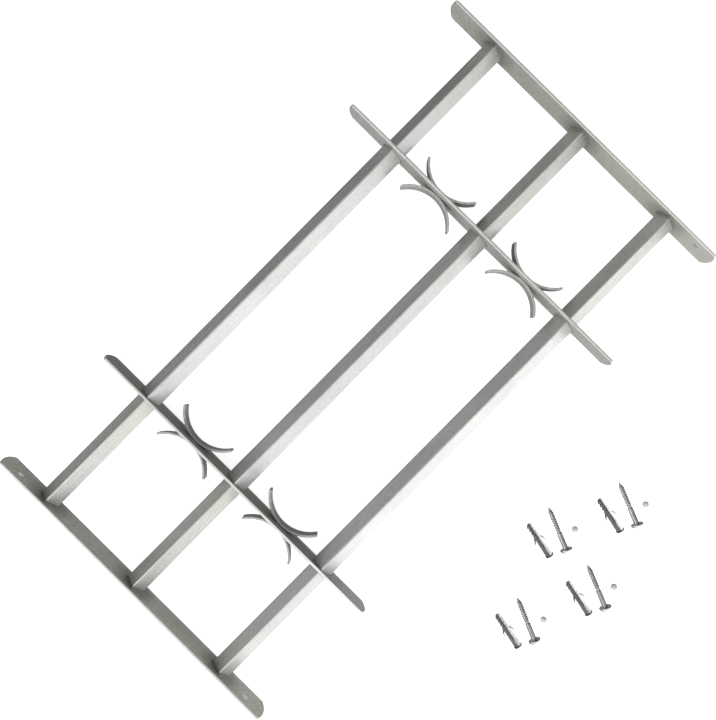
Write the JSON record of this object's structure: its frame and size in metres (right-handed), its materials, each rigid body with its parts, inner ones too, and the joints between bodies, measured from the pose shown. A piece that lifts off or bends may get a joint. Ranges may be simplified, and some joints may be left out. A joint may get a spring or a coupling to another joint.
{
  "type": "window security grille",
  "caption": "Telescoping window grille: square tubes set cornerwise through flat bars with back-to-back C scrolls, drilled end plates for wall fixing, and loose screws, plugs and balls.",
  "frame": {"origin": "centre of the grille between its end plates, in the plane of its rearmost edge, which is the surface that it lies on", "axes": "+X along the tubes to the right end plate, +Y along the flat bars to the top tube, +Z from the back to the front"},
  "size_m": [0.79, 0.6708, 0.046],
  "materials": {
    "galvanised_plate": "dull zinc coating with a faint yellow-green passivation tint",
    "galvanised_inner_tube": "satin zinc-coated drawn tube with fine lengthwise grain",
    "galvanised_outer_tube": "satin zinc-coated drawn tube with fine lengthwise grain",
    "galvanised_bar": "dull zinc-coated flat bar",
    "galvanised_scroll": "dull zinc-coated strip",
    "weld_metal": "rippled weld bead under zinc",
    "zinc_screw": "bright zinc-plated screw",
    "plug_nylon": "grey moulded nylon",
    "ball_steel": "polished hardened steel ball"
  },
  "bodies": {
    "centre_section": {"outer_tube_top": "galvanised_outer_tube", "outer_tube_middle": "galvanised_outer_tube", "outer_tube_bottom": "galvanised_outer_tube", "left_decorative_bar": "galvanised_bar", "right_decorative_bar": "galvanised_bar", "left_upper_outer_scroll": "galvanised_scroll", "left_upper_inner_scroll": "galvanised_scroll", "left_lower_outer_scroll": "galvanised_scroll", "left_lower_inner_scroll": "galvanised_scroll", "right_upper_outer_scroll": "galvanised_scroll", "right_upper_inner_scroll": "galvanised_scroll", "right_lower_outer_scroll": "galvanised_scroll", "right_lower_inner_scroll": "galvanised_scroll", "tube_tack_welds": "weld_metal", "scroll_tack_welds": "weld_metal"},
    "left_end_section": {"left_end_plate": "galvanised_plate", "left_inner_tube_top": "galvanised_inner_tube", "left_inner_tube_middle": "galvanised_inner_tube", "left_inner_tube_bottom": "galvanised_inner_tube", "left_end_weld_beads": "weld_metal"},
    "right_end_section": {"right_end_plate": "galvanised_plate", "right_inner_tube_top": "galvanised_inner_tube", "right_inner_tube_middle": "galvanised_inner_tube", "right_inner_tube_bottom": "galvanised_inner_tube", "right_end_weld_beads": "weld_metal"},
    "loose_screw_1": {"security_screw_1": "zinc_screw"},
    "loose_screw_2": {"security_screw_2": "zinc_screw"},
    "loose_screw_3": {"security_screw_3": "zinc_screw"},
    "loose_screw_4": {"security_screw_4": "zinc_screw"},
    "loose_plug_1": {"wall_plug_1": "plug_nylon"},
    "loose_plug_2": {"wall_plug_2": "plug_nylon"},
    "loose_plug_3": {"wall_plug_3": "plug_nylon"},
    "loose_plug_4": {"wall_plug_4": "plug_nylon"},
    "loose_ball_1": {"locking_ball_1": "ball_steel"},
    "loose_ball_2": {"locking_ball_2": "ball_steel"},
    "loose_ball_3": {"locking_ball_3": "ball_steel"},
    "loose_ball_4": {"locking_ball_4": "ball_steel"}
  },
  "joints": [
    {"name": "left_end_slide", "type": "slide", "parent": "centre_section", "child": "left_end_section", "axis": [-1, 0, 0], "range_m": [-0.045, 0.13]},
    {"name": "right_end_slide", "type": "slide", "parent": "centre_section", "child": "right_end_section", "axis": [1, 0, 0], "range_m": [-0.045, 0.13]},
    {"name": "lift_screw_1", "type": "slide", "parent": "centre_section", "child": "loose_screw_1", "axis": [0, 0, 1], "range_m": [0, 0.06]},
    {"name": "lift_screw_2", "type": "slide", "parent": "centre_section", "child": "loose_screw_2", "axis": [0, 0, 1], "range_m": [0, 0.06]},
    {"name": "lift_screw_3", "type": "slide", "parent": "centre_section", "child": "loose_screw_3", "axis": [0, 0, 1], "range_m": [0, 0.06]},
    {"name": "lift_screw_4", "type": "slide", "parent": "centre_section", "child": "loose_screw_4", "axis": [0, 0, 1], "range_m": [0, 0.06]},
    {"name": "lift_plug_1", "type": "slide", "parent": "centre_section", "child": "loose_plug_1", "axis": [0, 0, 1], "range_m": [0, 0.06]},
    {"name": "lift_plug_2", "type": "slide", "parent": "centre_section", "child": "loose_plug_2", "axis": [0, 0, 1], "range_m": [0, 0.06]},
    {"name": "lift_plug_3", "type": "slide", "parent": "centre_section", "child": "loose_plug_3", "axis": [0, 0, 1], "range_m": [0, 0.06]},
    {"name": "lift_plug_4", "type": "slide", "parent": "centre_section", "child": "loose_plug_4", "axis": [0, 0, 1], "range_m": [0, 0.06]},
    {"name": "lift_ball_1", "type": "slide", "parent": "centre_section", "child": "loose_ball_1", "axis": [0, 0, 1], "range_m": [0, 0.06]},
    {"name": "lift_ball_2", "type": "slide", "parent": "centre_section", "child": "loose_ball_2", "axis": [0, 0, 1], "range_m": [0, 0.06]},
    {"name": "lift_ball_3", "type": "slide", "parent": "centre_section", "child": "loose_ball_3", "axis": [0, 0, 1], "range_m": [0, 0.06]},
    {"name": "lift_ball_4", "type": "slide", "parent": "centre_section", "child": "loose_ball_4", "axis": [0, 0, 1], "range_m": [0, 0.06]}
  ]
}
